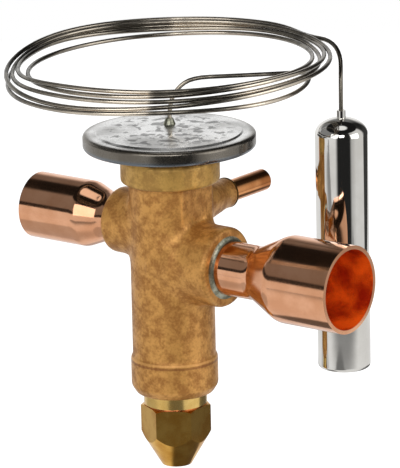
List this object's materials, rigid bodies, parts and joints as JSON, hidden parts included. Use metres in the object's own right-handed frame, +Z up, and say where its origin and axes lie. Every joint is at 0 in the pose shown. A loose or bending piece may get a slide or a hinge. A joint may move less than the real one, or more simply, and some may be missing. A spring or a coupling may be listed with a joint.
{
  "type": "refrigerant expansion valve",
  "caption": "Brass refrigerant expansion valve with swaged copper connections, a diaphragm element, a coiled capillary with a sensing bulb, and a hexagonal seal cap over its setting spindle.",
  "frame": {"origin": "centre of the outlet socket's mouth, where the pipe holds the valve", "axes": "+X is the way the refrigerant leaves, out of the outlet socket; +Y is the way the equalizer connection points; +Z is up along the valve's axis, towards the diaphragm element"},
  "size_m": [0.139, 0.1154, 0.1532],
  "materials": {
    "forged_brass": "as forged, fine grain, half matt",
    "turned_brass": "turned and polished",
    "copper": "drawn copper, polished",
    "silver_solder": "brazed joint, grey green",
    "stainless_steel": "brushed",
    "spring_steel": "drawn wire",
    "plated_bulb": "polished plating",
    "capillary_steel": "drawn tube",
    "seal_rubber": "moulded"
  },
  "bodies": {
    "valve": {"valve_body": "forged_brass", "inlet_tube": "copper", "outlet_tube": "copper", "equalizer_tube": "copper", "inlet_braze_ring": "silver_solder", "outlet_braze_ring": "silver_solder", "equalizer_braze_ring": "silver_solder", "element_base": "stainless_steel", "element_lid": "stainless_steel", "diaphragm": "stainless_steel", "capillary_ferrule": "silver_solder", "capillary_lead": "capillary_steel", "capillary_coil": "capillary_steel", "capillary_drop": "capillary_steel", "sensing_bulb": "plated_bulb", "rod_guide": "turned_brass", "rod_seal": "seal_rubber", "seat_insert": "stainless_steel", "superheat_spring": "spring_steel", "spindle_gland": "turned_brass", "gland_seal": "copper"},
    "lift_train": {"thrust_pad": "stainless_steel", "push_rod": "stainless_steel", "valve_cone": "stainless_steel", "pin_carrier": "turned_brass"},
    "spindle": {"setting_spindle": "stainless_steel", "spindle_o_ring": "seal_rubber"},
    "lower_spring_seat": {"spring_seat": "turned_brass"},
    "cap_ring": {"cap_gasket": "copper"},
    "cap": {"seal_cap": "turned_brass"}
  },
  "joints": [
    {"name": "valve_lift", "type": "slide", "parent": "valve", "child": "lift_train", "axis": [0, 0, -1], "range_m": [0, 0.0008], "stiffness_N_per_m": 3500, "springref_m": -0.0002, "deforming": ["superheat_spring"]},
    {"name": "spindle_turn", "type": "hinge", "parent": "valve", "child": "spindle", "pos_m": [-0.078, 0, -0.05], "axis": [0, 0, 1], "range_deg": [-1080, 1080]},
    {"name": "setting_slide", "type": "slide", "parent": "valve", "child": "lower_spring_seat", "axis": [0, 0, 1], "range_m": [-0.003, 0.003], "deforming": ["superheat_spring"]},
    {"name": "cap_travel", "type": "slide", "parent": "valve", "child": "cap_ring", "axis": [0, 0, -1], "range_m": [0, 0.008]},
    {"name": "cap_turn", "type": "hinge", "parent": "cap_ring", "child": "cap", "pos_m": [-0.078, 0, -0.06], "axis": [0, 0, 1], "range_deg": [0, 1920]}
  ],
  "couplings": [
    {"joint": "spindle_turn", "follows": "setting_slide", "rad_per_m": 6283.2},
    {"joint": "cap_turn", "follows": "cap_travel", "rad_per_m": 4188.8}
  ]
}
